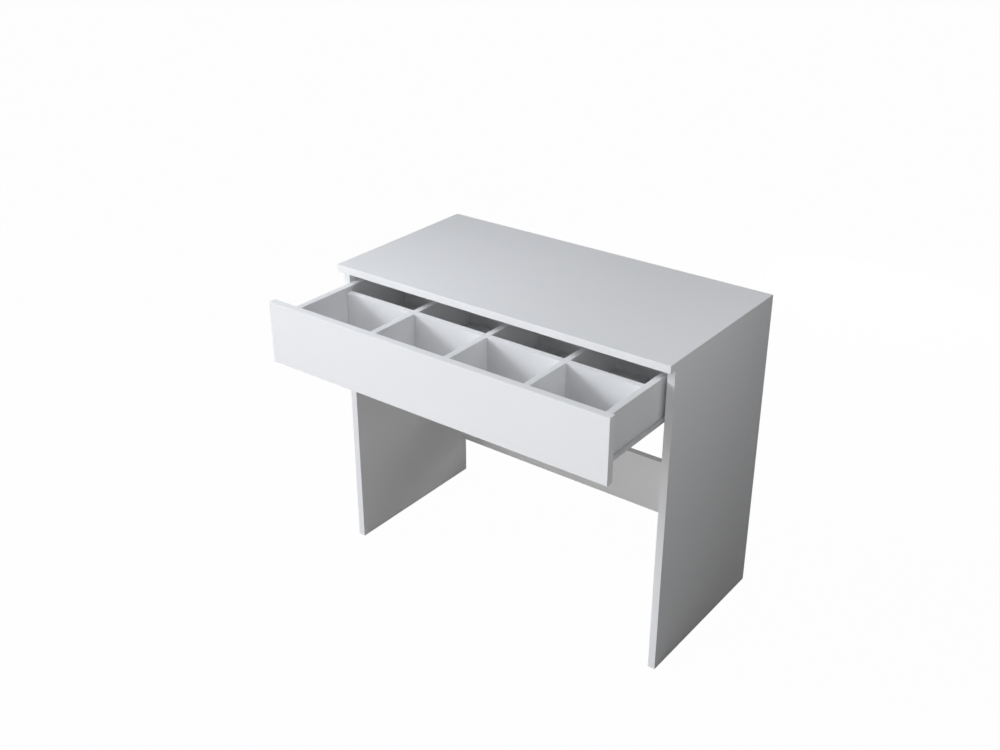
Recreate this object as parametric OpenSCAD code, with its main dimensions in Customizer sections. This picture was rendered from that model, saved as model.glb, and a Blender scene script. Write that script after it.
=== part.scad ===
// Dressing table: a top board on two slab sides with two rear rails, and one wide drawer that
// slides on roller runners and is divided into eight compartments.
// X runs across the width, Y from front to back, Z up, and the floor is at Z = 0.
// The drawer stands partly open; the origin lies under the middle of the whole outline.

/* [Table] */
// Width over the top board
table_w = 900; // [700:10:1200]
// Depth of the top board
table_d = 450; // [445:5:600]
// Height of the top surface above the floor
table_h = 768; // [700:2:850]
// Thickness of the top board
top_t = 18; // [16:1:25]
// Thickness of the side panels
side_t = 18; // [16:1:25]

/* [Rear rails] */
// Thickness of both rear rails
rail_t = 18; // [16:1:20]
// Height of the lower rear rail
low_rail_h = 148; // [100:2:200]
// Height of the lower rail's bottom edge above the floor
low_rail_z = 110; // [60:5:250]
// Height of the upper rear rail
top_rail_h = 100; // [80:5:140]

/* [Drawer front] */
// Height of the drawer front
front_h = 148; // [146:1:180]
// Thickness of the drawer front
front_t = 18; // [16:1:22]
// Gap between the drawer front and the underside of the top
top_gap = 2; // [1:0.5:4]
// Distance of the front's ends inside the top board's ends
end_gap = 0; // [0:0.5:3]
// Gap between the closed drawer front and the edges of the side panels
close_gap = 2; // [1:0.5:4]
// Distance that the drawer stands open
rest_open = 220; // [0:10:240]

/* [Drawer box] */
// Height of the drawer's sides and back
box_h = 104; // [90:1:110]
// Thickness of the drawer's sides and back
box_t = 16; // [15:0.5:18]
// Distance of the sides' top edges below the front's top edge
box_drop = 23; // [10:1:25]
// Thickness of the drawer's bottom panel
bottom_t = 3; // [3:0.5:4]
// Distance of the bottom panel's edges inside the drawer's sides, clear of the runners' bends
bottom_inset = 1; // [1:0.5:3]
// Depth of the groove in the front that takes the bottom panel
groove_depth = 8; // [5:1:10]
// Clearance of the bottom panel in that groove
groove_play = 0.2; // [0.1:0.1:0.5]

/* [Dividers] */
// Height of the dividers
divider_h = 92; // [85:1:96]
// Thickness of the dividers
divider_t = 16; // [14:0.5:18]
// Clearance on each side of a divider in its slot
slot_play = 0.2; // [0.1:0.1:0.5]

/* [Runners] */
// Length of the runners and of the drawer box
runner_len = 400; // [350:5:405]
// Space between the drawer's side and the side panel
runner_gap = 10; // [9:0.1:14]
// Distance of the cabinet runner behind the side panel's front edge
runner_inset = 20; // [1:1:20]
// Thickness of the runners' sheet steel
sheet_t = 1.2; // [1:0.1:1.5]
// Inner radius of the runners' bends
bend_r = 0.6; // [0.4:0.1:0.8]
// Height of the drawer runner over its two flanges
member_h = 17.4; // [16.5:0.1:20]
// Width of the drawer runner's flange under the drawer
foot_w = 14; // [10:1:20]
// Height of the cabinet runner's channel
track_h = 16; // [15:0.5:17]
// Height of the lips that close the channel's mouth
lip_h = 2; // [1.5:0.25:3]
// Height of the lip on the drawer runner's ledge, below the ledge
ledge_lip = 2.5; // [2:0.25:3]
// Distance behind the drawer front at which that lip begins
lip_from = 58; // [30:1:80]
// Clearance between that lip and the channel
ledge_clear = 0.8; // [0.4:0.1:1]
// Length of runner that stays engaged when the drawer is fully open
engaged_len = 98; // [80:2:120]
// Width of the spare holes in the runners
spare_hole = 4.2; // [3.5:0.1:5]
// Length of the cabinet runners' spare holes, which are slots
spare_slot = 9; // [6:0.5:12]

/* [Rollers] */
// Diameter of the front rollers, on the cabinet runners
front_roller_d = 17; // [14:0.5:17.5]
// Clearance between a roller and the lips beside it
lip_play = 0.5; // [0.3:0.1:1]
// Clearance between a roller and the sheet at its far face
side_play = 0.6; // [0.5:0.1:1]
// Diameter of the roller pins
pin_d = 5; // [4:0.25:5.5]
// Radial clearance of a roller on its pin
pin_play = 0.05; // [0.02:0.01:0.1]
// Gap between a roller and the surface that it rolls on
roll_gap = 0.1; // [0.05:0.05:0.2]
// Distance of a roller's axis from its end of the runner
roller_inset = 12; // [10:0.5:16]

/* [Fittings] */
// Diameter of the cam locks
cam_d = 15; // [12:0.5:16]
// Distance from a joint to the axis of its cam
cam_reach = 34; // [30:1:36]
// Depth of a cam below the middle of its board
cam_under = 4.5; // [4:0.25:5]
// Diameter of the bores for the cam bolts' shanks
bolt_bore_d = 8; // [7.5:0.25:9]
// Diameter of the cam bolts' threads
bolt_thread_d = 5; // [4:0.5:6]
// Length of the cam bolts' threads
bolt_thread_len = 11; // [9:0.5:12]
// Diameter of the dowels
dowel_d = 8; // [6:0.5:9]
// Length of the dowels
dowel_len = 30; // [25:1:35]
// Length of a dowel in the board that it enters face on
dowel_in = 10; // [8:0.5:10.5]
// Distance of the top's cams from the ends of a side panel
cam_inset = 69; // [60:1:90]
// Distance of the top's dowels from the ends of a side panel
dowel_inset = 37; // [20:1:45]
// Length of the screws that hold the runners
runner_screw_len = 14; // [10:1:15]
// Length of the screws that hold the drawer's back
back_screw_len = 50; // [40:1:60]
// Length of the nails that hold the drawer's bottom
nail_len = 20; // [16:1:24]

/* [Hidden] */
$fn = 48;
cut = 1;

// Planes of the carcass
half_w = table_w / 2;
inner_x = half_w - side_t;
under_z = table_h - top_t;
front_y = (rest_open - table_d) / 2;
back_y = front_y + table_d;
panel_y = front_y + front_t + close_gap;
panel_d = back_y - panel_y;
rail_y = back_y - rail_t;

// Planes of the drawer where it stands
face_y = front_y - rest_open;
box_y = face_y + front_t;
box_end_y = box_y + runner_len;
back_board_y = box_end_y - box_t;
inner_d = back_board_y - box_y;
mid_y = box_y + inner_d / 2;
box_x = inner_x - runner_gap;
box_in_x = box_x - box_t;
front_z = under_z - top_gap - front_h;
box_top_z = front_z + front_h - box_drop;
box_z = box_top_z - box_h;
bottom_z = box_z - bottom_t;
bottom_x = box_x - bottom_inset;
divider_z = box_z;
cross_pitch = (2 * box_in_x + divider_t) / 4;
cross_x = [-cross_pitch, 0, cross_pitch];

// Runner sections: the drawer runner's foot, its ledge and the channel below it
foot_z = bottom_z - sheet_t;
ledge_z = foot_z + member_h - sheet_t;
track_z = ledge_z - ledge_lip - ledge_clear - track_h;
mouth_gap = 2.5;
flange_w = runner_gap - mouth_gap;
track_y = panel_y + runner_inset;
channel_start = 45;
lip_start = 30;
lip_corner = 2;
screw_y = [35, 0.4 * runner_len, runner_len - 45];
spare_y = [64, 0.56 * runner_len, runner_len - 76];

// Rollers: the front pair carries the ledges, the rear pair runs in the channels
front_roller_y = track_y + roller_inset;
front_roller_z = ledge_z - roll_gap - front_roller_d / 2;
rear_roller_d = track_h - 2 * sheet_t - 2 * roll_gap;
rear_roller_y = box_end_y - roller_inset;
rear_roller_z = track_z + track_h / 2;
// Distances from the wood behind a pin to its roller's two faces
roller_near = mouth_gap + sheet_t + lip_play;
roller_far = runner_gap - sheet_t - side_play;
roller_w = roller_far - roller_near;
recess_r = pin_d / 2 + 1.6;
recess_d = 1.4;
stop_h = 3.5;
stop_gap = 0.4;
closed_roller_y = rear_roller_y + rest_open;
open_roller_y = track_y + engaged_len - roller_inset;

// Fittings: heights and places of the joints
box_joint_z = [box_z + box_h / 4, box_z + 3 * box_h / 4];
divider_joint_z = [divider_z + divider_h / 4, divider_z + 3 * divider_h / 4];
top_cam_y = [panel_y + cam_inset, back_y - cam_inset];
top_dowel_y = [panel_y + dowel_inset, back_y - dowel_inset];
rails = [[low_rail_z, low_rail_h], [under_z - top_rail_h, top_rail_h]];
dowel_play = 0.1;
end_play = 0.5;

// Head and shank radii of the runners' screws, the back's screws and the bottom's nails
screw_head_r = 3.4;
screw_r = 1.75;
back_head_r = 5;
back_shank_r = 3.2;
nail_head_r = 1.7;
nail_r = 0.8;
nail_x = [for (i = [-1.5:1:1.5]) i * cross_pitch];
nail_y = [box_y + inner_d / 4, box_y + 3 * inner_d / 4];

// Colours
board = "white";
hardboard = "whitesmoke";
steel = "silver";
coat = "lightgray";
nylon = "gainsboro";
beech = "burlywood";

// Repeats its children on the right and, mirrored, on the left
module both_sides() {
    children();
    mirror([1, 0, 0]) children();
}

// Joint fittings are drawn in one local frame: the joint face is X = 0, the board that holds the cam
// or the longer end of the dowel lies at +X, and the cam opens towards +Z. The three modules below
// put that frame on the right-hand joints.
module at_top_joint(places) {
    for (y = places) translate([half_w - side_t / 2, y, under_z]) rotate([0, 90, 180]) children();
}

module at_rail_joint(places) {
    for (z = places) translate([inner_x, back_y - rail_t / 2, z]) rotate([90, 0, 180]) children();
}

module at_front_joint() {
    for (z = box_joint_z) translate([box_x - box_t / 2, box_y, z]) rotate([-90, 0, 90]) children();
}

function rail_cam_z(r) = [r[0] + r[1] / 4, r[0] + 3 * r[1] / 4];
function rail_dowel_z(r) = [r[0] + r[1] / 2];

// Ends of the dividers: the long one meets the sides, the cross ones meet the front and the back
module at_long_ends() {
    for (z = divider_joint_z) translate([box_in_x, mid_y, z]) rotate([90, 0, 180]) children();
}

module at_cross_ends(x) {
    for (z = divider_joint_z) {
        translate([x, box_y, z]) rotate([0, 0, 90]) children();
        translate([x, back_board_y, z]) rotate([0, 0, -90]) children();
    }
}

// Bore along X from the joint face, with the cutting end standing out of it
module bore_x(d, depth) {
    translate([-cut, 0, 0]) rotate([0, 90, 0]) cylinder(d = d, h = depth + cut);
}

// Cam lock's bores in the board at +X, whose thickness is t
module cam_bores(t) {
    bore_x(bolt_bore_d, cam_reach);
    translate([cam_reach, 0, -cam_under]) cylinder(d = cam_d, h = t);
}

// Bolt's threaded bore in the board at -X
module bolt_bore() {
    mirror([1, 0, 0]) bore_x(bolt_thread_d, bolt_thread_len + end_play);
}

// Dowel's bores in the board at +X and in the one at -X
module dowel_bore_end() {
    bore_x(dowel_d + dowel_play, dowel_len - dowel_in + end_play);
}

module dowel_bore_face() {
    mirror([1, 0, 0]) bore_x(dowel_d + dowel_play, dowel_in + end_play);
}

// Cam bolt: a threaded end, a shank and a waisted head that the cam draws in
module cam_bolt() {
    thread_r = bolt_thread_d / 2;
    shank_r = bolt_bore_d / 2 - 0.6;
    neck_x = cam_reach - cam_d / 2 + 1;
    head_x = cam_reach - 2.5;
    color(steel) rotate([0, 90, 0]) rotate_extrude()
        polygon([
            [0, -bolt_thread_len], [thread_r - 1, -bolt_thread_len], [thread_r, 1.5 - bolt_thread_len],
            [thread_r, 0], [shank_r, 0], [shank_r, neck_x - 1], [shank_r - 1.2, neck_x],
            [shank_r - 1.2, head_x - 1], [shank_r - 0.2, head_x], [shank_r - 0.2, head_x + 2],
            [shank_r - 1, head_x + 3], [0, head_x + 3]
        ]);
}

// Cam lock for a board of thickness t: a drum with a pocket for the bolt's head and a cross slot
module cam_lock(t) {
    rim = t / 2 - 0.3;
    slot = 1.4;
    color(steel) translate([cam_reach, 0, 0]) difference() {
        translate([0, 0, -cam_under]) cylinder(d = cam_d, h = rim + cam_under);
        translate([-cam_d / 2 - cut, 0, 0]) rotate([0, 90, 0])
            cylinder(d = bolt_bore_d - 2.4, h = cam_d / 2 + cut);
        translate([-3.2, 0, 0]) rotate([0, 90, 0]) cylinder(d = bolt_bore_d - 0.8, h = 5);
        translate([-cam_d / 2 - cut, 0, 0]) rotate([0, 90, 0])
            cylinder(d = bolt_bore_d - 0.8, h = 2.2 + cut);
        for (a = [0, 90]) rotate([0, 0, a])
            translate([-cam_d / 4, -slot / 2, rim - 2.5]) cube([cam_d / 2, slot, 2.5 + cut]);
    }
}

// Dowel with chamfered ends
module dowel() {
    r = dowel_d / 2;
    color(beech) translate([-dowel_in, 0, 0]) rotate([0, 90, 0]) rotate_extrude()
        polygon([
            [0, 0], [r - 1, 0], [r, 1.5], [r, dowel_len - 1.5], [r - 1, dowel_len], [0, dowel_len]
        ]);
}

// Countersunk screw along +Z with its head's face at Z = 0, and the same form as a bore
module screw_form(len, head_r, shank_r) {
    rotate_extrude() polygon([
        [0, 0], [head_r, 0], [shank_r, head_r - shank_r], [shank_r, len - 3], [0, len]
    ]);
}

module screw(len, head_r, shank_r) {
    slot = 1;
    color(steel) difference() {
        screw_form(len, head_r, shank_r);
        for (a = [0, 90]) rotate([0, 0, a])
            translate([-head_r * 0.6, -slot / 2, -cut]) cube([head_r * 1.2, slot, cut + 1.2]);
    }
}

module screw_bore(len, head_r, shank_r) {
    screw_form(len, head_r, shank_r);
    translate([0, 0, -cut]) cylinder(r = head_r, h = cut + 0.01);
}

// Carcass
module table_top() {
    color(board) difference() {
        translate([-half_w, front_y, under_z]) cube([table_w, table_d, top_t]);
        both_sides() {
            at_top_joint(top_cam_y) bolt_bore();
            at_top_joint(top_dowel_y) dowel_bore_face();
        }
    }
}

module side_panel() {
    color(board) difference() {
        translate([inner_x, panel_y, 0]) cube([side_t, panel_d, under_z]);
        at_top_joint(top_cam_y) cam_bores(side_t);
        at_top_joint(top_dowel_y) dowel_bore_end();
        for (r = rails) {
            at_rail_joint(rail_cam_z(r)) bolt_bore();
            at_rail_joint(rail_dowel_z(r)) dowel_bore_face();
        }
        at_cabinet_web(screw_y) screw_bore(runner_screw_len, screw_head_r, screw_r);
    }
}

module left_side_panel() mirror([1, 0, 0]) side_panel();
module right_side_panel() side_panel();

module rear_rail(r) {
    color(board) difference() {
        translate([-inner_x, rail_y, r[0]]) cube([2 * inner_x, rail_t, r[1]]);
        both_sides() {
            at_rail_joint(rail_cam_z(r)) cam_bores(rail_t);
            at_rail_joint(rail_dowel_z(r)) dowel_bore_end();
        }
    }
}

module lower_rear_rail() rear_rail(rails[0]);
module upper_rear_rail() rear_rail(rails[1]);

module top_cam_bolts() both_sides() at_top_joint(top_cam_y) cam_bolt();
module top_cam_locks() both_sides() at_top_joint(top_cam_y) cam_lock(side_t);
module top_dowels() both_sides() at_top_joint(top_dowel_y) dowel();
module rail_cam_bolts() for (r = rails) both_sides() at_rail_joint(rail_cam_z(r)) cam_bolt();
module rail_cam_locks() for (r = rails) both_sides() at_rail_joint(rail_cam_z(r)) cam_lock(rail_t);
module rail_dowels() for (r = rails) both_sides() at_rail_joint(rail_dowel_z(r)) dowel();

// Runners

// Rectangle from the origin whose corner at the origin is rounded by r
module corner_rect(w, h, r) {
    translate([r, 0]) square([w - r, h]);
    translate([0, r]) square([w, h - r]);
    translate([r, r]) circle(r = r);
}

// Strip bent once, with its outer corner at the origin and its legs along +X and +Y
module elbow(leg_x, leg_y) {
    difference() {
        corner_rect(leg_x, leg_y, bend_r + sheet_t);
        translate([sheet_t, sheet_t]) corner_rect(leg_x, leg_y, bend_r);
    }
}

// Rectangle from the origin with all four corners rounded by r
module rounded_rect(w, h, r) {
    translate([r, 0]) square([w - 2 * r, h]);
    translate([0, r]) square([w, h - 2 * r]);
    for (x = [r, w - r], y = [r, h - r]) translate([x, y]) circle(r = r);
}

// Extrudes a section drawn in X and Z along Y, from 0 to len
module along_y(len) {
    translate([0, len, 0]) rotate([90, 0, 0]) linear_extrude(height = len) children();
}

// Channel section: its back at X = 0 and its mouth, between two lips, at +X
module channel_section() {
    difference() {
        rounded_rect(flange_w, track_h, bend_r + sheet_t);
        translate([sheet_t, sheet_t])
            rounded_rect(flange_w - 2 * sheet_t, track_h - 2 * sheet_t, bend_r);
        translate([flange_w - 2 * sheet_t, sheet_t + lip_h])
            square([3 * sheet_t, track_h - 2 * (sheet_t + lip_h)]);
    }
}

// Slot along Y through a sheet that lies on Z = 0
module slot_cut() {
    straight = spare_slot - spare_hole;
    translate([0, 0, -cut]) linear_extrude(height = sheet_t + 2 * cut) {
        for (s = [-1, 1]) translate([0, s * straight / 2]) circle(d = spare_hole);
        square([spare_hole, straight], center = true);
    }
}

// Cabinet runner on the right: a channel for the rear roller, cut away at the front for the front
// roller, with a stop in its roof for the open drawer and one in its back for the closed one
module cabinet_runner() {
    roller_r = rear_roller_d / 2;
    reach = sqrt(pow(roller_r, 2) - pow(roller_r - stop_h, 2));
    mouth = flange_w - 2 * sheet_t - 0.4;
    color(coat) difference() {
        translate([inner_x, 0, track_z]) mirror([1, 0, 0]) union() {
            difference() {
                translate([0, track_y, 0]) along_y(runner_len) channel_section();
                translate([sheet_t + bend_r, track_y - cut, track_h / 2])
                    cube([flange_w, channel_start + cut, track_h]);
                translate([flange_w - 2 * sheet_t, track_y - cut, sheet_t])
                    cube([3 * sheet_t, lip_start + cut, track_h]);
            }
            translate([sheet_t / 2, open_roller_y - reach - stop_gap - sheet_t, track_h - sheet_t - stop_h])
                cube([mouth, sheet_t, stop_h + sheet_t / 2]);
            translate([sheet_t / 2, closed_roller_y + roller_r + stop_gap, sheet_t / 2])
                cube([mouth / 2, sheet_t, track_h - sheet_t]);
        }
        at_cabinet_web(screw_y) screw_bore(runner_screw_len, screw_head_r, screw_r);
        at_cabinet_web(spare_y) slot_cut();
        at_front_pin() translate([0, 0, -cut]) cylinder(d = pin_d, h = sheet_t + 2 * cut);
    }
}

module left_cabinet_runner() mirror([1, 0, 0]) cabinet_runner();
module right_cabinet_runner() cabinet_runner();

// Drawer runner on the right: a foot under the drawer, a web up its side and a ledge whose lip
// begins in a rounded corner some way behind the drawer front
module drawer_runner() {
    lap = member_h / 2 + 1;
    bend = sheet_t + bend_r;
    color(coat) difference() {
        translate([box_x, box_y, foot_z]) along_y(runner_len) {
            translate([sheet_t, 0]) mirror([1, 0]) elbow(foot_w + sheet_t, lap);
            translate([0, member_h]) mirror([0, 1]) elbow(flange_w - bend, lap);
            translate([flange_w, member_h]) mirror([1, 0]) mirror([0, 1])
                elbow(flange_w / 2, sheet_t + ledge_lip);
        }
        translate([box_x + flange_w + cut, box_y + lip_from, ledge_z])
            rotate([90, 0, -90]) linear_extrude(height = bend + cut)
                mirror([0, 1]) corner_rect(lip_from + cut, ledge_lip + cut, lip_corner);
        at_drawer_screws() screw_bore(runner_screw_len, screw_head_r, screw_r);
        at_drawer_web(spare_y) translate([0, 0, -cut]) cylinder(d = spare_hole, h = sheet_t + 2 * cut);
        at_rear_pin() translate([0, 0, -cut]) cylinder(d = pin_d, h = sheet_t + 2 * cut);
    }
}

module left_drawer_runner() mirror([1, 0, 0]) drawer_runner();
module right_drawer_runner() drawer_runner();

// Screws of the runners, in the frame of the screw: head at Z = 0, point towards +Z. The spare
// holes lie in the same frames on the webs
module at_cabinet_web(places) {
    for (y = places)
        translate([inner_x - sheet_t, track_y + y, rear_roller_z]) rotate([0, 90, 0]) children();
}

module at_drawer_web(places) {
    for (y = places)
        translate([box_x, box_y + y, foot_z + member_h / 2]) rotate([0, 90, 0]) children();
}

module at_drawer_screws() {
    for (y = screw_y) translate([box_x - box_t / 2, box_y + y, foot_z]) children();
}

module cabinet_runner_screws() {
    both_sides() at_cabinet_web(screw_y) screw(runner_screw_len, screw_head_r, screw_r);
}

module drawer_runner_screws() {
    both_sides() at_drawer_screws() screw(runner_screw_len, screw_head_r, screw_r);
}

// Pins of the rollers, in the frame of the pin: its tail in the sheet from Z = 0, its head at +Z
module at_front_pin() {
    translate([inner_x, front_roller_y, front_roller_z]) rotate([0, -90, 0]) children();
}

module at_rear_pin() {
    translate([box_x, rear_roller_y, rear_roller_z]) rotate([0, 90, 0]) children();
}

module roller_pin() {
    r = pin_d / 2;
    shoulder_r = r + 1.4;
    head_z = roller_far - recess_d + 0.1;
    color(steel) rotate_extrude() polygon([
        [0, 0], [r, 0], [r, sheet_t], [shoulder_r, sheet_t], [shoulder_r, roller_near - 0.1],
        [r, roller_near - 0.1], [r, head_z], [recess_r - 0.5, head_z], [recess_r - 0.7, head_z + 0.7],
        [r, head_z + 1.1], [0, head_z + 1.1]
    ]);
}

// Roller: a rim and a hub joined by a thinner web, with a recess for the pin's head
module roller(d) {
    r = d / 2;
    bore_r = pin_d / 2 + pin_play;
    rim_r = r - 1.2;
    hub_r = recess_r + 0.35 * (rim_r - recess_r);
    dish = 0.8;
    chamfer = 0.5;
    color(nylon) translate([0, 0, roller_near]) rotate_extrude() polygon([
        [bore_r, 0], [hub_r, 0], [hub_r, dish], [rim_r, dish], [rim_r, 0], [r - chamfer, 0],
        [r, chamfer], [r, roller_w - chamfer], [r - chamfer, roller_w], [recess_r, roller_w],
        [recess_r, roller_w - recess_d], [bore_r, roller_w - recess_d]
    ]);
}

module cabinet_roller_pins() both_sides() at_front_pin() roller_pin();
module drawer_roller_pins() both_sides() at_rear_pin() roller_pin();
module right_cabinet_roller() at_front_pin() roller(front_roller_d);
module left_cabinet_roller() mirror([1, 0, 0]) right_cabinet_roller();
module right_drawer_roller() at_rear_pin() roller(rear_roller_d);
module left_drawer_roller() mirror([1, 0, 0]) right_drawer_roller();

// Drawer
module drawer_front() {
    color(board) difference() {
        translate([end_gap - half_w, face_y, front_z]) cube([table_w - 2 * end_gap, front_t, front_h]);
        translate([-bottom_x - groove_play, box_y - groove_depth, bottom_z - groove_play])
            cube([2 * (bottom_x + groove_play), groove_depth + cut, bottom_t + 2 * groove_play]);
        both_sides() at_front_joint() bolt_bore();
        for (x = cross_x) at_cross_ends(x) dowel_bore_face();
    }
}

module drawer_side() {
    color(board) difference() {
        translate([box_in_x, box_y, box_z]) cube([box_t, runner_len, box_h]);
        at_front_joint() cam_bores(box_t);
        at_long_ends() dowel_bore_face();
        at_back_screws() screw_bore(back_screw_len, back_head_r, back_shank_r);
        at_drawer_screws() screw_bore(runner_screw_len, screw_head_r, screw_r);
    }
}

module drawer_left_side() mirror([1, 0, 0]) drawer_side();
module drawer_right_side() drawer_side();

module drawer_back() {
    color(board) difference() {
        translate([-box_in_x, back_board_y, box_z]) cube([2 * box_in_x, box_t, box_h]);
        both_sides() at_back_screws() screw_bore(back_screw_len, back_head_r, back_shank_r);
        for (x = cross_x) at_cross_ends(x) dowel_bore_face();
        at_row_nails() nail_form();
    }
}

module drawer_bottom() {
    tongue = groove_depth - 1;
    color(hardboard) difference() {
        translate([-bottom_x, box_y - tongue, bottom_z])
            cube([2 * bottom_x, runner_len + tongue, bottom_t]);
        both_sides() at_drawer_screws() screw_bore(runner_screw_len, screw_head_r, screw_r);
        at_all_nails() nail_form();
    }
}

// Nails through the bottom, head at Z = 0: one row in the back and one in the long divider, with a
// nail under each compartment, and two nails in each cross divider
module at_row_nails() {
    for (x = nail_x, y = [mid_y, back_board_y + box_t / 2]) translate([x, y, bottom_z]) children();
}

module at_cross_nails(x) {
    for (y = nail_y) translate([x, y, bottom_z]) children();
}

module at_all_nails() {
    at_row_nails() children();
    for (x = cross_x) at_cross_nails(x) children();
}

module nail_form() {
    rotate_extrude() polygon([
        [0, 0], [nail_head_r, 0], [nail_head_r, 0.3], [nail_r, 0.3 + nail_head_r - nail_r],
        [nail_r, nail_len - 2], [0, nail_len]
    ]);
}

module bottom_nails() color(steel) at_all_nails() nail_form();

// Screws through the drawer's sides into the ends of its back, head at Z = 0
module at_back_screws() {
    for (z = box_joint_z)
        translate([box_x, back_board_y + box_t / 2, z]) rotate([0, -90, 0]) children();
}

module back_screws() both_sides() at_back_screws() screw(back_screw_len, back_head_r, back_shank_r);
module front_cam_bolts() both_sides() at_front_joint() cam_bolt();
module front_cam_locks() both_sides() at_front_joint() cam_lock(box_t);

// Dividers, halved into each other where they cross
module long_divider() {
    slot_w = divider_t + 2 * slot_play;
    color(board) difference() {
        translate([-box_in_x, mid_y - divider_t / 2, divider_z])
            cube([2 * box_in_x, divider_t, divider_h]);
        for (x = cross_x)
            translate([x - slot_w / 2, mid_y - divider_t / 2 - cut, divider_z + divider_h / 2])
                cube([slot_w, divider_t + 2 * cut, divider_h]);
        both_sides() at_long_ends() dowel_bore_end();
        at_row_nails() nail_form();
    }
}

module cross_divider(x) {
    slot_w = divider_t + 2 * slot_play;
    color(board) difference() {
        translate([x - divider_t / 2, box_y, divider_z]) cube([divider_t, inner_d, divider_h]);
        translate([x - divider_t / 2 - cut, mid_y - slot_w / 2, divider_z - cut])
            cube([divider_t + 2 * cut, slot_w, divider_h / 2 + cut]);
        at_cross_ends(x) dowel_bore_end();
        at_cross_nails(x) nail_form();
    }
}

module left_cross_divider() cross_divider(cross_x[0]);
module middle_cross_divider() cross_divider(cross_x[1]);
module right_cross_divider() cross_divider(cross_x[2]);

module divider_dowels() {
    both_sides() at_long_ends() dowel();
    for (x = cross_x) at_cross_ends(x) dowel();
}

table_top();
left_side_panel();
right_side_panel();
upper_rear_rail();
lower_rear_rail();
top_cam_bolts();
top_cam_locks();
top_dowels();
rail_cam_bolts();
rail_cam_locks();
rail_dowels();
left_cabinet_runner();
right_cabinet_runner();
cabinet_runner_screws();
cabinet_roller_pins();
left_cabinet_roller();
right_cabinet_roller();
drawer_front();
drawer_left_side();
drawer_right_side();
drawer_back();
drawer_bottom();
long_divider();
left_cross_divider();
middle_cross_divider();
right_cross_divider();
front_cam_bolts();
front_cam_locks();
back_screws();
divider_dowels();
bottom_nails();
left_drawer_runner();
right_drawer_runner();
drawer_runner_screws();
drawer_roller_pins();
left_drawer_roller();
right_drawer_roller();
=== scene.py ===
"""Looks of a white dressing table with a divided drawer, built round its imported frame.

Lengths are in metres in the frame's axes: X across the width, Y from front to back, Z
up. The boards, runners and cam locks are the frame's own solids with finishes, and the
boards get rounded edges. Screws, bolts, nails, dowels, rollers and pins are surfaces
worked out here, and stand for their solids.
"""

import math
from functools import reduce

import bpy
import numpy as np
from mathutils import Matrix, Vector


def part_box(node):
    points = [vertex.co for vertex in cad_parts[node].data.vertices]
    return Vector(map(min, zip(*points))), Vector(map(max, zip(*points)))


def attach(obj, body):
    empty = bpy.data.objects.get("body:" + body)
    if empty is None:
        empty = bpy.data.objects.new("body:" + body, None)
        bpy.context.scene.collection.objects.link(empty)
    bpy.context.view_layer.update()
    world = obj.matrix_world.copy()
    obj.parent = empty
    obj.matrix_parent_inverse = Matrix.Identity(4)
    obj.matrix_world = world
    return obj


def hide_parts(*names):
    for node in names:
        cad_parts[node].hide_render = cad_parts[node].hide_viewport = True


bl_info = {
    "name": "Dressing table finish",
    "version": (1, 0, 0),
    "blender": (4, 5, 0),
    "location": "3D View > Sidebar > Dressing table",
    "description": "Finishes, fittings and studio for a dressing table with a drawer",
    "category": "Object",
}

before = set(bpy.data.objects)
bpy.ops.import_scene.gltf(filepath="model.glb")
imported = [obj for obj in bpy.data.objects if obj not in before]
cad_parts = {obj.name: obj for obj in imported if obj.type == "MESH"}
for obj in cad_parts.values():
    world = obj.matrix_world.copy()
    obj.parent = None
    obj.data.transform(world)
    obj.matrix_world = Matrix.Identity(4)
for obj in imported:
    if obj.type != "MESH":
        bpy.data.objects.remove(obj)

MM = 0.001
TURN = 2 * math.pi
X, Y, Z = 0, 1, 2
LOW, HIGH = 0, 1

BOARDS = (
    "table_top",
    "left_side_panel",
    "right_side_panel",
    "upper_rear_rail",
    "lower_rear_rail",
    "drawer_front",
    "drawer_left_side",
    "drawer_right_side",
    "drawer_back",
    "long_divider",
    "left_cross_divider",
    "middle_cross_divider",
    "right_cross_divider",
)

# Narrow faces left without a band, as (axis, end)
BARE_FACES = {
    "left_side_panel": ((Z, LOW), (Z, HIGH)),
    "right_side_panel": ((Z, LOW), (Z, HIGH)),
    "upper_rear_rail": ((X, LOW), (X, HIGH), (Z, HIGH)),
    "lower_rear_rail": ((X, LOW), (X, HIGH), (Z, LOW)),
    "drawer_left_side": ((Y, LOW), (Z, LOW)),
    "drawer_right_side": ((Y, LOW), (Z, LOW)),
    "drawer_back": ((X, LOW), (X, HIGH), (Z, LOW)),
    "long_divider": ((X, LOW), (X, HIGH), (Z, LOW)),
    "left_cross_divider": ((Y, LOW), (Y, HIGH), (Z, LOW)),
    "middle_cross_divider": ((Y, LOW), (Y, HIGH), (Z, LOW)),
    "right_cross_divider": ((Y, LOW), (Y, HIGH), (Z, LOW)),
}

# Corners nearer to each other than this are one corner
SAME_PLACE = 0.001 * MM

# Corners nearer to the end of a turned solid than this are on its end face
END_DEPTH = 0.01 * MM

# Rounding errors in a profile are smaller than this
ROUND_OFF = 1e-9

# Edges of a new piece that turn by more than this, in degrees, stay sharp
SHARP = 40

# Faces of a CAD node that turn by less than this, in degrees, are one flat face
FLAT = 0.1

# Rings of points in one pitch of a thread or of a nail's rings
RINGS_PER_PITCH = 8

# Bare shanks in shares of the head's radius
RUNNER_SCREW_SHANK = 0.515
LONG_SCREW_SHANK = 0.64
NAIL_SHANK = 0.47

# Gap between a roller and the steel that it runs on
RUNNING_GAP = 0.1 * MM

# Camera that sees the table as the photograph does: place, and turn in degrees
CAMERA_PLACE = (1.4882, -2.0450, 1.8363)
CAMERA_TURN = (63.34, 0, 37.08)
SENSOR_WIDTH = 36

# Point that the lamps shine at
TABLE_MIDDLE = (0, 0, 0.55)

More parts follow.
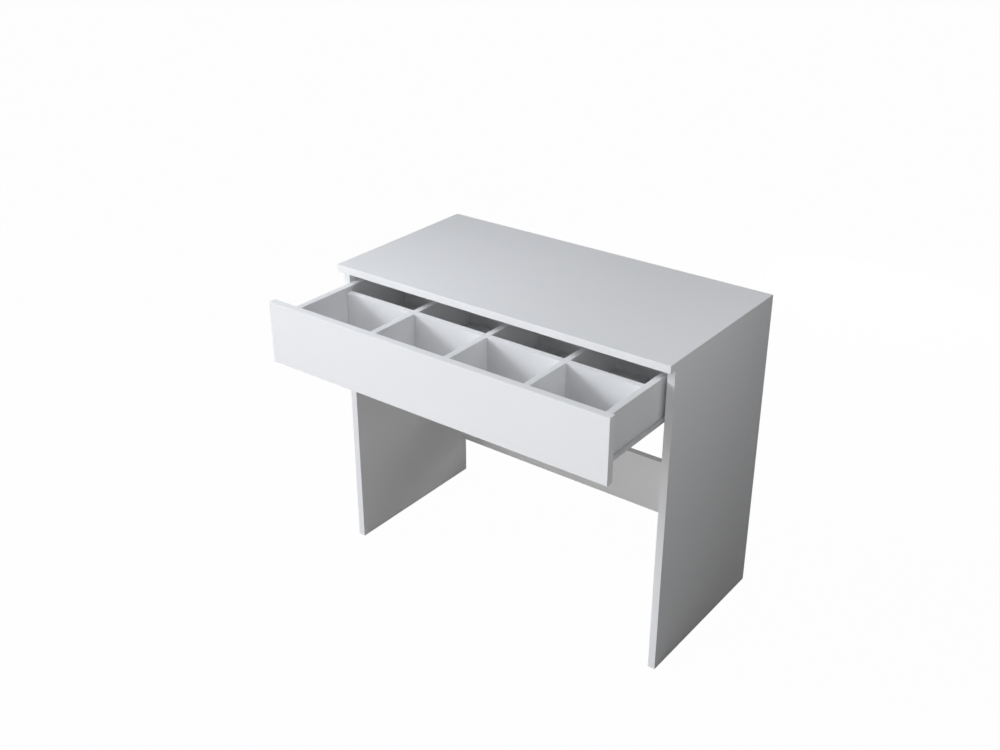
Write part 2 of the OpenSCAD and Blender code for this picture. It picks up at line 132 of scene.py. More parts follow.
# Key light: width and direction in degrees as seen from the table, and distance
KEY_WIDTH = 20
KEY_AZIMUTH = -67
KEY_ELEVATION = 24
KEY_DISTANCE = 4

# Soft boxes as (width, azimuth in degrees, elevation in degrees, distance)
SOFT_BOXES = {
    "left_box": (0.7, -50, 60, 1.2),
    "front_box": (1.6, -20, 11, 2.6),
    "near_box": (1.2, 45, 26, 1.9),
    "right_box": (0.7, 90, 30, 1.2),
    "back_box": (1.2, 180, 4, 2.6),
}

# Half the floor's width, and how many squares it has each way
FLOOR_REACH = 30.0
FLOOR_SQUARES = 16

WHITE = (1, 1, 1, 1)


# Shader maths


class Value:
    """A number or vector that varies over a surface. Its operators add Math nodes."""

    def __init__(self, finish, socket):
        self.finish = finish
        self.socket = socket

    def math(self, operation, *terms):
        """Math node of that operation on the terms in their order."""
        settings = {"operation": operation}
        return self.finish.node("ShaderNodeMath", settings, dict(enumerate(terms)))

    def __add__(self, other):
        return self.math("ADD", self, other)

    def __sub__(self, other):
        return self.math("SUBTRACT", self, other)

    def __rsub__(self, other):
        return self.math("SUBTRACT", other, self)

    def __mul__(self, other):
        return self.math("MULTIPLY", self, other)

    def __abs__(self):
        return self.math("ABSOLUTE", self)

    __radd__ = __add__
    __rmul__ = __mul__

    def least(self, other):
        """The smaller of two values."""
        return self.math("MINIMUM", self, other)

    def most(self, other):
        """The larger of two values."""
        return self.math("MAXIMUM", self, other)

    def step(self, low, high):
        """Smooth step from 0 at low to 1 at high."""
        settings = {"interpolation_type": "SMOOTHSTEP"}
        sockets = {"Value": self, "From Min": low, "From Max": high}
        return self.finish.node("ShaderNodeMapRange", settings, sockets)

    def other(self, output):
        """Another output of the node that this value comes from."""
        return Value(self.finish, self.socket.node.outputs[output])


class Finish:
    """Node tree of a material or of the world. place is the point on the object."""

    def __init__(self, owner):
        owner.use_nodes = True
        self.owner = owner
        self.tree = owner.node_tree
        self.tree.nodes.clear()
        self.place = self.node("ShaderNodeTexCoord", output="Object")

    def node(self, kind, settings=None, sockets=None, output=0):
        """Adds a node: first its settings, then the values or links of its sockets."""
        made = self.tree.nodes.new(kind)
        for name, value in (settings or {}).items():
            if name == "stops":
                for stop, (position, colour) in zip(made.color_ramp.elements, value):
                    stop.position = position
                    stop.color = (*colour, 1)
            else:
                setattr(made, name, value)
        for name, value in (sockets or {}).items():
            if isinstance(value, Value):
                self.tree.links.new(value.socket, made.inputs[name])
            else:
                made.inputs[name].default_value = value
        return Value(self, made.outputs[output]) if made.outputs else None

    def axes(self):
        """The three coordinates of the place on the object."""
        x = self.node("ShaderNodeSeparateXYZ", None, {0: self.place})
        return x, x.other(1), x.other(2)

    def stretched(self, x, y, z):
        """The place with its axes multiplied. A factor below 1 draws a pattern out."""
        sockets = {"Vector": self.place, "Scale": (x, y, z)}
        return self.node("ShaderNodeMapping", None, sockets)

    def noise(self, scale, detail, vector=None):
        """Noise round 0.5 with about scale bumps to the metre."""
        sockets = {"Vector": vector or self.place, "Scale": scale, "Detail": detail}
        return self.node("ShaderNodeTexNoise", None, sockets)

    def mix(self, a, b, factor):
        """Colour a where factor is 0 and b where it is 1."""
        a, b = (c if isinstance(c, Value) else (*c, 1) for c in (a, b))
        settings = {"data_type": "RGBA"}
        return self.node("ShaderNodeMix", settings, {0: factor, 6: a, 7: b}, output=2)

    def scaled(self, colour, amount):
        """Colour times a number that varies over the surface."""
        colour = colour if isinstance(colour, Value) else tuple(colour)
        sockets = {0: colour, "Scale": amount}
        return self.node("ShaderNodeVectorMath", {"operation": "SCALE"}, sockets)

    def ramp(self, factor, low, high, start, end):
        """Colour from low to high as factor goes from start to end."""
        stops = {"stops": ((start, low), (end, high))}
        return self.node("ShaderNodeValToRGB", stops, {0: factor})

    def finished(self, colour, roughness, height, constants):
        """Principled surface with bumps of that height in metres.

        The constants go on the shader's own sockets.
        """
        sockets = {"Strength": 1.0, "Distance": 1.0, "Height": height}
        normal = self.node("ShaderNodeBump", None, sockets)
        sockets = {"Base Color": colour, "Roughness": roughness, "Normal": normal}
        surface = self.node("ShaderNodeBsdfPrincipled", None, sockets | constants)
        self.node("ShaderNodeOutputMaterial", None, {"Surface": surface})
        return self.owner


# Finishes


def new_finish(name):
    """Finish of a new material."""
    return Finish(bpy.data.materials.new(name))


def chipboard(finish, look):
    """Colour and height in metres of a sawn or bored core of pressed wood flakes."""
    flakes = finish.node(
        "ShaderNodeTexVoronoi",
        {"feature": "F1"},
        {"Vector": finish.stretched(1.0, 1.6, 2.4), "Scale": 420.0},
        output="Color",
    )
    shade = finish.node("ShaderNodeSeparateColor", None, {0: flakes})
    shade = 0.6 * shade + 0.4 * finish.noise(2600.0, 3.0)
    colour = finish.ramp(shade, look.core_dark, look.core_pale, start=0.15, end=0.85)
    return colour, 0.25 * MM * shade


def board_finish(name, look):
    """Melamine-faced board: satin grain, bands glued on narrow faces, and bare bores.

    The depth of a point below each pair of faces is min(p - low, high - p). On a wide
    face the depth across the thickness is 0, and the smaller of the other two is the
    distance from the board's outline. Where all three are larger than the skin, the
    point is in a bore.
    """
    low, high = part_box(name)
    finish = new_finish(name + "_finish")
    places = finish.axes()
    depth = [(p - a).least(b - p) for p, a, b in zip(places, low, high)]
    thin = int(np.argmin(high - low))
    across = depth[thin]
    outline = depth[(thin + 1) % 3].least(depth[(thin + 2) % 3])
    skin = 0.3 * MM
    narrow = across.step(skin, 0.45 * MM)
    core = across.least(outline).step(skin, 0.4 * MM)
    for axis, end in BARE_FACES.get(name, ()):
        away = places[axis] - low[axis] if end == LOW else high[axis] - places[axis]
        core = core.most(narrow * (1 - away.step(0.1 * MM, 0.25 * MM)))

    # The glue line between band and face, a hair wide and slightly sunk
    line = 1 - abs(outline - look.band).step(0.05 * MM, 0.16 * MM)
    line = line * (1 - narrow)

    # Scuffs along the edges
    worn = 1 - across.most(outline).step(0.4 * MM, 1.8 * MM)
    scuffs = finish.noise(620.0, 4.0).step(0.60, 0.72) * worn

    mottle = finish.noise(7.0, 3.0) + 0.5 * finish.noise(46.0, 2.0) - 0.75
    shade = 1 + look.mottle * mottle - 0.24 * line - 0.16 * scuffs
    face = finish.scaled(look.colour, shade)
    face = finish.mix(face, finish.scaled(look.band_colour, shade), narrow)
    flakes, pits = chipboard(finish, look)
    colour = finish.mix(face, flakes, core)
    uneven = 0.10 * (finish.noise(16.0, 4.0) - 0.5)
    roughness = look.roughness + uneven + 0.06 * scuffs + 0.4 * core
    pearl = finish.noise(1500.0, 2.0)
    height = look.grain * pearl - 0.05 * MM * line + pits * core
    constants = {"Specular IOR Level": look.gloss}
    return finish.finished(colour, roughness, height, constants)


def hardboard_finish(name, look):
    """Thin fibre panel, lacquered on its upper face and brown and felted elsewhere."""
    _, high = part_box(name)
    finish = new_finish(name + "_finish")
    above = finish.axes()[Z] - high.z
    lacquer = above.step(-0.5 * MM, -0.3 * MM)
    fibre = finish.noise(900.0, 4.0, finish.stretched(1.0, 3.0, 1.0))
    brown = finish.ramp(fibre, look.fibre_dark, look.fibre_pale, start=0.3, end=0.7)
    mottle = 1 + 0.03 * (finish.noise(11.0, 3.0) - 0.5)
    colour = finish.mix(brown, finish.scaled(look.colour, mottle), lacquer)
    roughness = 0.75 - 0.27 * lacquer + 0.1 * (fibre - 0.5)
    height = 0.02 * MM * fibre + 0.01 * MM * finish.noise(350.0, 2.0)
    return finish.finished(colour, roughness, height, {"Specular IOR Level": 0.4})


def coated_steel_finish(name, look, tracks):
    """Powder-coated sheet steel with an orange-peel skin, rubbed where the rollers run.

    tracks are the heights of the level faces on which the coat is rubbed.
    """
    finish = new_finish(name)
    z = finish.axes()[Z]
    near = [1 - abs(z - track).step(0.05 * MM, 0.2 * MM) for track in tracks]
    streaks = finish.noise(240.0, 4.0, finish.stretched(1, 0.06, 1)).step(0.38, 0.56)
    rubbed = reduce(Value.most, near) * streaks
    peel = finish.noise(1300.0, 2.0)
    dust = finish.noise(30.0, 4.0)
    coat = finish.scaled(look.coat_colour, 0.97 + 0.06 * dust)
    steel = finish.scaled(look.zinc_colour, 0.75 + 0.5 * peel)
    colour = finish.mix(coat, steel, 0.65 * rubbed)
    roughness = 0.42 + 0.14 * (dust - 0.5) - 0.08 * rubbed
    height = 0.018 * MM * peel + 0.01 * MM * rubbed
    return finish.finished(colour, roughness, height, {"Specular IOR Level": 0.5})


def zinc_finish(name, look, grain):
    """Plated or cast zinc: cloudy passivation over a grain of that height in metres."""
    finish = new_finish(name)
    cloud = finish.noise(330.0, 3.0)
    spangle = finish.noise(2600.0, 3.0)
    tint = finish.mix(look.zinc_colour, look.zinc_stain, cloud.step(0.35, 0.75))
    colour = finish.scaled(tint, 0.86 + 0.28 * spangle)
    roughness = look.zinc_roughness + 0.22 * (cloud - 0.5) + 0.1 * (spangle - 0.5)
    return finish.finished(colour, roughness, grain * spangle, {"Metallic": 1.0})


def nylon_finish(name, look):
    """Moulded nylon: milky, slightly uneven, with a dull sheen."""
    finish = new_finish(name)
    flow = finish.noise(140.0, 3.0)
    colour = finish.mix(look.nylon_colour, look.nylon_shade, flow.step(0.3, 0.8))
    roughness = look.nylon_roughness + 0.16 * (finish.noise(500.0, 3.0) - 0.5)
    height = 0.012 * MM * finish.noise(1800.0, 2.0)
    return finish.finished(colour, roughness, height, {"Specular IOR Level": 0.5})


def beech_finish(name, look, axis):
    """Turned beech: pores and growth lines drawn out along the dowels' axis."""
    finish = new_finish(name)
    along = [1.0, 1.0, 1.0]
    along[axis] = 0.08
    lines = finish.noise(420.0, 3.0, finish.stretched(*along))
    pores = finish.noise(2400.0, 2.0, finish.stretched(*along)).step(0.62, 0.72)
    colour = finish.mix(look.beech_pale, look.beech_dark, lines.step(0.3, 0.7))
    colour = finish.scaled(colour, 1 - 0.3 * pores)
    roughness = 0.62 + 0.16 * (lines - 0.5)
    height = -0.03 * MM * pores + 0.02 * MM * lines
    return finish.finished(colour, roughness, height, {})


# Places of the fittings


def solids_of(node):
    """Corner points of each separate solid in a CAD node, as a list of (n, 3) arrays.

    Equal corners are merged, and each corner takes the lowest label among the triangles
    it is in until nothing changes, so that every solid ends with one label.
    """
    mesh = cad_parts[node].data
    points = np.empty(len(mesh.vertices) * 3)
    mesh.vertices.foreach_get("co", points)
    used = np.empty(len(mesh.loops), int)
    mesh.loops.foreach_get("vertex_index", used)
    rounded = np.round(points.reshape(-1, 3), 6)
    distinct, index = np.unique(rounded, axis=0, return_inverse=True)
    triangles = index.ravel()[used].reshape(-1, 3)
    label, lower = None, np.arange(len(distinct))
    while not np.array_equal(label, lower):
        label = lower
        least = np.repeat(label[triangles].min(axis=1), 3)
        lower = label.copy()
        np.minimum.at(lower, triangles.ravel(), least)
        lower = lower[lower]
    return [distinct[label == value] for value in np.unique(label)]


def seat(points, outward=None):
    """Where a turned solid lies: rotation, centre of its first face, length and radius.

    The rotation's third column is the axis. It runs along the solid's longest side,
    from its thicker end to its thinner one. With outward given it runs along X instead,
    away from the table's middle where outward is 1 and towards it where it is -1.
    """
    low, high = points.min(axis=0), points.max(axis=0)
    start = (low + high) / 2
    axis = int(np.argmax(high - low)) if outward is None else X
    radius = np.linalg.norm(np.delete(points - start, axis, axis=1), axis=1)
    if outward is None:
        first = radius[points[:, axis] < low[axis] + END_DEPTH].max()
        last = radius[points[:, axis] > high[axis] - END_DEPTH].max()
        towards = 1 if first >= last else -1
    else:
        towards = outward * np.sign(start[X])
    start[axis] = low[axis] if towards > 0 else high[axis]
    direction = np.zeros(3)
    direction[axis] = towards
    side = np.zeros(3)
    side[(axis + 1) % 3] = 1
    rotation = np.column_stack((side, np.cross(direction, side), direction))
    return rotation, start, high[axis] - low[axis], radius.max()


def seats_of(node, outward=None):
    """Rotation and start of each solid in a node, and the length and radius of one.

    The solids of a node are alike, so the first one gives the length and radius.
    """
    seats = [seat(points, outward) for points in solids_of(node)]
    _, _, length, radius = seats[0]
    return [(rotation, start) for rotation, start, _, _ in seats], length, radius


# Surfaces


def softened(profile, radius):
    """Profile whose inner corners are rounded.

    Each corner p becomes the three points of a quadratic curve from p - s u to p + s v,
    where u and v are the directions of its two legs, and s is the radius or 0.4 of the
    shorter leg.
    """
    profile = np.asarray(profile, float)
    legs = np.diff(profile, axis=0)
    length = np.linalg.norm(legs, axis=1)[:, None]
    unit = legs / length
    reach = np.minimum(radius, 0.4 * np.minimum(length[:-1], length[1:]))
    corner = profile[1:-1]
    before, after = corner - reach * unit[:-1], corner + reach * unit[1:]
    middle = (before + 2 * corner + after) / 4
    inner = np.stack((before, middle, after), axis=1).reshape(-1, 2)
    return np.vstack((profile[:1], inner, profile[-1:]))


def filled(profile, pitch, start=0.0):
    """Profile whose legs at or above the height start are cut into equal parts.

    No part is longer than pitch: point i of a leg from p to q in n parts is
    p + (q - p) i / n.
    """
    profile = np.asarray(profile, float)
    legs = np.diff(profile, axis=0)
    parts = np.ceil(np.linalg.norm(legs, axis=1) / pitch).astype(int)
    parts[profile[:-1, 1] < start - ROUND_OFF] = 1
    leg = np.repeat(np.arange(len(legs)), parts)
    step = np.arange(len(leg)) - np.repeat(np.cumsum(parts) - parts, parts)
    inner = profile[leg] + legs[leg] * (step / parts[leg])[:, None]
    return np.vstack((inner, profile[-1:]))


def turned(profile, around, shape=None, loop=False):
    """Surface of a (radius, height) profile turned about Z: points, quads, triangles.

    Point i of ring j is (r cos a, r sin a, z) with a = 2 pi i / around, after
    shape(r, z, a) has moved r and z. A loop closes on itself. Any other profile starts
    and ends on the axis, where a pole closes it. A profile that runs up its outer side
    has its faces outwards.
    """
    profile = np.asarray(profile, float)
    rings = profile if loop else profile[1:-1]
    angle = np.arange(around) * TURN / around
    r = np.repeat(rings[:, :1], around, axis=1)
    z = np.repeat(rings[:, 1:], around, axis=1)
    a = np.broadcast_to(angle, r.shape)
    if shape is not None:
        r, z = shape(r, z, a)
    points = np.stack((r * np.cos(a), r * np.sin(a), z), axis=-1).reshape(-1, 3)
    count = len(rings)
    i, ahead = np.arange(around), np.roll(np.arange(around), -1)
    here = np.arange(count if loop else count - 1)[:, None] * around
    there = (here + around) % (count * around)
    quads = np.stack((here + i, here + ahead, there + ahead, there + i), axis=-1)
    triangles = np.empty((0, 3), int)
    if not loop:
        last = (count - 1) * around
        poles = np.array([[0, 0, z[0].mean()], [0, 0, profile[-1, 1]]])
        first_pole = np.full(around, len(points))
        first = np.column_stack((first_pole, ahead, i))
        final = np.column_stack((first_pole + 1, last + i, last + ahead))
        points = np.vstack((points, poles))
        triangles = np.vstack((first, final))
    return points, quads.reshape(-1, 4), triangles


def cross_recess(r, z, a, head):
    """Heights of a head's face with a cross recess sunk into it.

    In shares of the head's radius, a bar lies where |y| < 0.15 and |x| < 0.52, and its
    walls slope over 0.09, half of that on either side of those lines. The recess takes
    the larger of two bars at right angles and is 0.42 deep.
    """
    half_width, half_length, slope, depth = 0.15, 0.52, 0.09, 0.42

    def inside(place, half):
        return np.clip((half - place) / slope + 0.5, 0, 1)

    x, y = np.abs(r * np.cos(a)) / head, np.abs(r * np.sin(a)) / head
    one = inside(y, half_width) * inside(x, half_length)
    other = inside(x, half_width) * inside(y, half_length)
    return z + depth * head * np.maximum(one, other)


def threaded(r, z, a, start, pitch, depth, sharpness):
    """Radius r (1 - depth g (1 - c)) of a shank with a thread cut into it.

    c = ((1 + cos b) / 2)^sharpness with b = a - 2 pi z / pitch is 1 on the crest of a
    helix of that pitch, and g grows from 0 at the height start to 1 a pitch above it.
    """
    crest = ((1 + np.cos(a - TURN * z / pitch)) / 2) ** sharpness
    grown = np.clip((z - start) / pitch, 0, 1)
    return r * (1 - depth * grown * (1 - crest))


def screw_surface(length, head, shank, pitch):
    """Countersunk screw along +Z, its head's face at Z = 0 with a cross recess in it.

    The thread is 0.34 of the shank's radius deep and starts half a pitch past the neck.
    """
    neck, point = head - shank, 3 * MM
    cone = [(head, 0), (shank, neck), (shank, length - point), (0, length)]
    crown = filled([(0, 0), (head, 0)], head / 12)
    body = filled(softened(cone, 0.15 * MM), pitch / RINGS_PER_PITCH, neck)
    profile = np.vstack((crown[:-1], body))

    def shape(r, z, a):
        face = np.where(z < ROUND_OFF, cross_recess(r, z, a, head), z)
        start = neck + pitch / 2
        return threaded(r, z, a, start, pitch, depth=0.34, sharpness=3), face

    return turned(profile, around=32, shape=shape)


def cam_bolt_surface(length, pitch):
    """Cam bolt along +Z: a waisted head, a shank and a threaded end 11 mm long.

    The thread is 0.26 of its radius deep and starts 0.5 mm past the shank.
    """
    head, waist, shank, thread = 3.2 * MM, 2.2 * MM, 3.4 * MM, 2.5 * MM
    start = length - 11 * MM
    outline = [
        (0, 0),
        (head - 0.8 * MM, 0),
        (head, 1 * MM),
        (head, 3 * MM),
        (waist, 4 * MM),
        (waist, 8 * MM),
        (shank, 9 * MM),
        (shank, start),
        (thread, start + 0.02 * MM),
        (thread, length - 1.5 * MM),
        (thread - 1 * MM, length),
        (0, length),
    ]
    smooth = softened(outline, 0.25 * MM)
    profile = filled(smooth, pitch / RINGS_PER_PITCH, start)

    def shape(r, z, a):
        grooved = start + 0.5 * MM
        return threaded(r, z, a, grooved, pitch, depth=0.26, sharpness=2), z

    return turned(profile, around=32, shape=shape)


def nail_surface(length, head, shank):
    """Nail along +Z with a flat head, a tapered point and rings pressed into its shank.

    Over the first 5 mm of the shank, from the height z0 on, the radius is
    R (1 - 0.05 (1 + cos b)) with b = 2 pi (z - z0) / 0.8 mm: a ring every 0.8 mm.
    """
    face, ring, point = 0.3 * MM, 0.8 * MM, 2 * MM
    neck = face + head - shank
    ringed = neck + 5 * MM
    outline = [
        (0, 0),
        (head, 0),
        (head, face),
        (shank, neck),
        (shank, ringed),
        (shank, length - point),
        (0, length),
    ]
    smooth = softened(outline, 0.12 * MM)
    cut = filled(smooth, ring / RINGS_PER_PITCH, neck)

    # The last six points of smooth go from the height ringed to the tip
    profile = np.vstack((cut[cut[:, 1] < ringed - END_DEPTH], smooth[-6:]))

    def shape(r, z, a):
        rings = 1 + np.cos(TURN * (z - neck) / ring)
        return np.where((z > neck) & (z < ringed), r * (1 - 0.05 * rings), r), z

    return turned(profile, around=24, shape=shape)


def dowel_surface(length, radius):
    """Dowel along +Z with rounded ends and 14 pressed flutes.

    The radius is R (1 - 0.05 w f) with f = ((1 + cos 14 a) / 2)^2, where w is 1 along
    the dowel and falls to 0 at both ends.
    """
    flutes, chamfer, ends = 14, 1 * MM, 1.5 * MM
    profile = [
        (0, 0),
        (radius - chamfer, 0),
        (radius, ends),
        (radius, length - ends),
        (radius - chamfer, length),
        (0, length),
    ]

    def shape(r, z, a):
        inward = np.clip(np.minimum(z, length - z) / ends - 0.4, 0, 1)
        flute = ((1 + np.cos(flutes * a)) / 2) ** 2
        return r * (1 - 0.05 * inward * flute), z

    return turned(softened(profile, 0.5 * MM), around=6 * flutes, shape=shape)


def roller_surface(width, radius):
    """Roller along +Z, with ribs in a dished near face and a pin's recess behind.

    On the near face the height is z - 0.4 D w ((1 + cos 8 a) / 2)^2, where D is the
    depth of the dish, and w is 1 on the web and falls to 0 at the hub and the rim. So
    eight ribs rise out of the dish by 0.4 of its depth.
    """
    ribs, dish, sunk = 8, 0.8 * MM, 1.4 * MM
    bore, recess = 2.55 * MM, 4.1 * MM
    chamfer, rounding = 0.5 * MM, 0.2 * MM
    rim = radius - 1.2 * MM
    hub = recess + 0.35 * (rim - recess)
    outline = [
        (bore, 0),
        (hub, 0),
        (hub, dish),
        (rim, dish),
        (rim, 0),
        (radius - chamfer, 0),
        (radius, chamfer),
        (radius, width - chamfer),
        (radius - chamfer, width),
        (recess, width),
        (recess, width - sunk),
        (bore, width - sunk),
    ]
    closed = softened(outline[-1:] + outline + outline[:1], rounding)[1:-1]

    def shape(r, z, a):
        web = np.clip((r - hub) / rounding, 0, 1) * np.clip((rim - r) / rounding, 0, 1)
        rib = ((1 + np.cos(ribs * a)) / 2) ** 2
        return r, z - 0.4 * dish * rib * web * (z < width / 2)

    return turned(closed, around=8 * ribs, shape=shape, loop=True)


def pin_surface(length):
    """Riveted pin along +Z from its tail: a collar on the sheet and a domed head."""
    shank, collar, head = 2.5 * MM, 3.9 * MM, 3.6 * MM
    outline = [
        (0, 0),
        (shank, 0),
        (shank, 1.2 * MM),
        (collar, 1.2 * MM),
        (collar, 4.1 * MM),
        (shank, 4.1 * MM),
        (shank, length - 1.1 * MM),
        (head, length - 1.1 * MM),
        (head - 0.2 * MM, length - 0.4 * MM),
        (shank, length - 0.1 * MM),
        (1 * MM, length),
        (0, length),
    ]
    return turned(softened(outline, 0.2 * MM), around=40)


# Meshes


def surface_mesh(name, points, quads, triangles=np.empty((0, 3), int)):
    """Mesh of points, quads and triangles, which are written as whole arrays."""
    mesh = bpy.data.meshes.new(name)
    mesh.vertices.add(len(points))
    mesh.vertices.foreach_set("co", points.ravel())
    used = np.concatenate((quads.ravel(), triangles.ravel()))
    sizes = np.repeat((4, 3), (len(quads), len(triangles)))
    mesh.loops.add(len(used))
    mesh.loops.foreach_set("vertex_index", used)
    mesh.polygons.add(len(sizes))
    mesh.polygons.foreach_set("loop_start", np.cumsum(sizes) - sizes)
    mesh.update(calc_edges=True)
    return mesh


def piece(name, made, places, body, stands_for, material):
    """Mesh object of one surface, repeated at every place, which rides on a body."""
    points, quads, triangles = made
    placed = np.vstack([points @ rotation.T + start for rotation, start in places])
    shift = (np.arange(len(places)) * len(points))[:, None, None]
    quads = (quads + shift).reshape(-1, 4)
    triangles = (triangles + shift).reshape(-1, 3)
    mesh = surface_mesh(name, placed, quads, triangles)
    mesh.shade_smooth()
    mesh.set_sharp_from_angle(angle=math.radians(SHARP))
    mesh.materials.append(material)
    thing = bpy.data.objects.new(name, mesh)
    bpy.context.scene.collection.objects.link(thing)
    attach(thing, body)
    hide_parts(stands_for)


def dress(node, material):
    """Gives a CAD node its material."""
    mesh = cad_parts[node].data
    mesh.materials.clear()
    mesh.materials.append(material)


def merged(node):
    """Merges the loose triangles of a CAD node and joins its flat faces again."""
    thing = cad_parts[node]
    weld = thing.modifiers.new("weld", "WELD")
    weld.merge_threshold = SAME_PLACE
    flat = thing.modifiers.new("flat faces", "DECIMATE")
    flat.decimate_type = "DISSOLVE"
    flat.angle_limit = math.radians(FLAT)


def round_edges(node, radius, segments):
    """Rounds the outer edges of a board that is a CAD node.

    An edge is an outer one where both its ends lie in the same two planes of the
    board's box.
    """
    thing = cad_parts[node]
    mesh = thing.data
    points = np.empty(len(mesh.vertices) * 3)
    mesh.vertices.foreach_get("co", points)
    ends = np.empty(len(mesh.edges) * 2, int)
    mesh.edges.foreach_get("vertices", ends)
    planes = np.array(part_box(node))
    held = abs(points.reshape(-1, 1, 3) - planes) < SAME_PLACE
    ends = ends.reshape(-1, 2)
    shared = (held[ends[:, 0]] & held[ends[:, 1]]).any(axis=1).sum(axis=1)
    weight = mesh.attributes.new("bevel_weight_edge", "FLOAT", "EDGE")
    weight.data.foreach_set("value", (shared >= 2).astype(np.float32))
    merged(node)
    edge = thing.modifiers.new("round edges", "BEVEL")
    edge.width = radius
    edge.segments = segments
    edge.limit_method = "WEIGHT"
    edge.use_clamp_overlap = False
    edge.harden_normals = True


# Settings


def colour_property(name, description, default):
    """A colour that a user may change."""
    return bpy.props.FloatVectorProperty(
        name=name,
        description=description,
        default=default,
        subtype="COLOR",
        min=0,
        max=1,
    )


def length_property(name, description, default):
    """A length in metres that a user may change."""
    return bpy.props.FloatProperty(
        name=name,
        description=description,
        default=default,
        unit="LENGTH",
        min=0,
        precision=5,
    )


def share_property(name, description, default):
    """A share from 0 to 1 that a user may change."""
    return bpy.props.FloatProperty(
        name=name,
        description=description,
        default=default,
        subtype="FACTOR",
        min=0,
        max=1,
    )


class BoardLook(bpy.types.PropertyGroup):
    """Melamine-faced boards and the hardboard bottom."""

    colour: colour_property("Face", "Colour of the boards' faces", (0.86, 0.862, 0.868))
    band_colour: colour_property(
        "Band", "Colour of the glued edge bands", (0.87, 0.872, 0.877)
    )
    core_dark: colour_property(
        "Dark core", "Colour of the core's darkest flakes", (0.20, 0.12, 0.06)
    )
    core_pale: colour_property(
        "Pale core", "Colour of the core's palest flakes", (0.62, 0.47, 0.30)
    )
    fibre_dark: colour_property(
        "Dark fibre", "Colour of the hardboard's darkest fibres", (0.16, 0.09, 0.05)
    )
    fibre_pale: colour_property(
        "Pale fibre", "Colour of the hardboard's palest fibres", (0.36, 0.23, 0.13)
    )
    band: length_property("Band thickness", "Thickness of the edge bands", 0.8 * MM)
    edge: length_property("Edge radius", "Radius of the boards' edges", 0.7 * MM)
    thin_edge: length_property(
        "Thin edge radius", "Radius of the hardboard's edges", 0.3 * MM
    )
    grain: length_property("Grain", "Height of the faces' satin grain", 0.006 * MM)
    mottle: share_property("Mottle", "Unevenness of the faces' colour", 0.02)
    roughness: share_property("Roughness", "Roughness of the faces", 0.68)
    gloss: share_property("Gloss", "Strength of the faces' sheen", 0.2)


class MetalLook(bpy.types.PropertyGroup):
    """Runners, screws, nails, bolts, cam locks and pins."""

    coat_colour: colour_property(
        "Coat", "Colour of the runners' powder coat", (0.585, 0.592, 0.60)
    )
    zinc_colour: colour_property(
        "Zinc", "Colour of bright zinc plate", (0.60, 0.61, 0.62)
    )
    zinc_stain: colour_property(
        "Stain", "Colour of dull, passivated zinc", (0.44, 0.45, 0.45)
    )
    zinc_roughness: share_property("Roughness", "Roughness of zinc plate", 0.34)
    plate_grain: length_property(
        "Plate grain", "Height of the grain on zinc plate", 0.002 * MM
    )
    cast_grain: length_property(
        "Cast grain", "Height of the grain on cast zinc", 0.02 * MM
    )
    screw_pitch: length_property("Screw pitch", "Pitch of the runner screws", 1.6 * MM)
    long_pitch: length_property(
        "Long screw pitch", "Pitch of the drawer back's screws", 3.2 * MM
    )
    bolt_pitch: length_property("Bolt pitch", "Pitch of the cam bolts", 1.8 * MM)


class PlasticLook(bpy.types.PropertyGroup):
    """Nylon rollers."""

    nylon_colour: colour_property(
        "Nylon", "Colour of the moulded nylon", (0.74, 0.74, 0.70)
    )
    nylon_shade: colour_property(
        "Shade", "Colour of the nylon's cloudier parts", (0.66, 0.66, 0.61)
    )
    nylon_roughness: share_property("Roughness", "Roughness of the nylon", 0.38)


class WoodLook(bpy.types.PropertyGroup):
    """Beech dowels."""

    beech_pale: colour_property(
        "Pale wood", "Colour between growth lines", (0.60, 0.41, 0.25)
    )
    beech_dark: colour_property(
        "Dark wood", "Colour of growth lines", (0.45, 0.28, 0.15)
    )


class StudioLook(bpy.types.PropertyGroup):
    """Floor, lamps and camera."""

    floor: colour_property("Floor", "Colour of the floor", (0.50, 0.50, 0.50))
    backdrop: share_property(
        "Backdrop", "Share of plain white in the floor and the world as seen", 0.985
    )
    sky: share_property("Sky", "Strength of the even light from all round", 0.0)
    key: share_property("Key", "Strength of the key light from the left", 0.79)
    key_colour: colour_property(
        "Key colour", "Colour of the key light", (0.913, 0.949, 1)
    )
    left_box: share_property(
        "Left box", "Strength of the soft box above the left", 0.262
    )
    left_colour: colour_property(
        "Left box's colour", "Colour of the soft box above the left", (0.944, 0.96, 1)
    )
    front_box: share_property("Front box", "Strength of the soft box in front", 0.353)
    near_box: share_property(
        "Near box", "Strength of the soft box at the front right", 0.137
    )
    right_box: share_property(
        "Right box", "Strength of the soft box on the right", 0.07
    )
    back_box: share_property("Back box", "Strength of the soft box behind", 0.35)
    box_colour: colour_property("Boxes' colour", "Colour of the other boxes", (1, 1, 1))
    lens: bpy.props.FloatProperty(
        name="Lens", description="Focal length", default=44.39, unit="CAMERA"
    )


class TableLook(bpy.types.PropertyGroup):
    """All settings of the dressing table."""

    boards: bpy.props.PointerProperty(type=BoardLook)
    metal: bpy.props.PointerProperty(type=MetalLook)
    plastic: bpy.props.PointerProperty(type=PlasticLook)
    wood: bpy.props.PointerProperty(type=WoodLook)
    studio: bpy.props.PointerProperty(type=StudioLook)


# Operators


class FinishBoards(bpy.types.Operator):
    """Rounds the boards' edges and gives each board its faces, bands and bores"""

    bl_idname = "dressing_table.boards"
    bl_label = "Boards"

    def execute(self, context):
        look = context.scene.dressing_table.boards
        for name in BOARDS:
            dress(name, board_finish(name, look))
            round_edges(name, look.edge, segments=3)
        return {"FINISHED"}


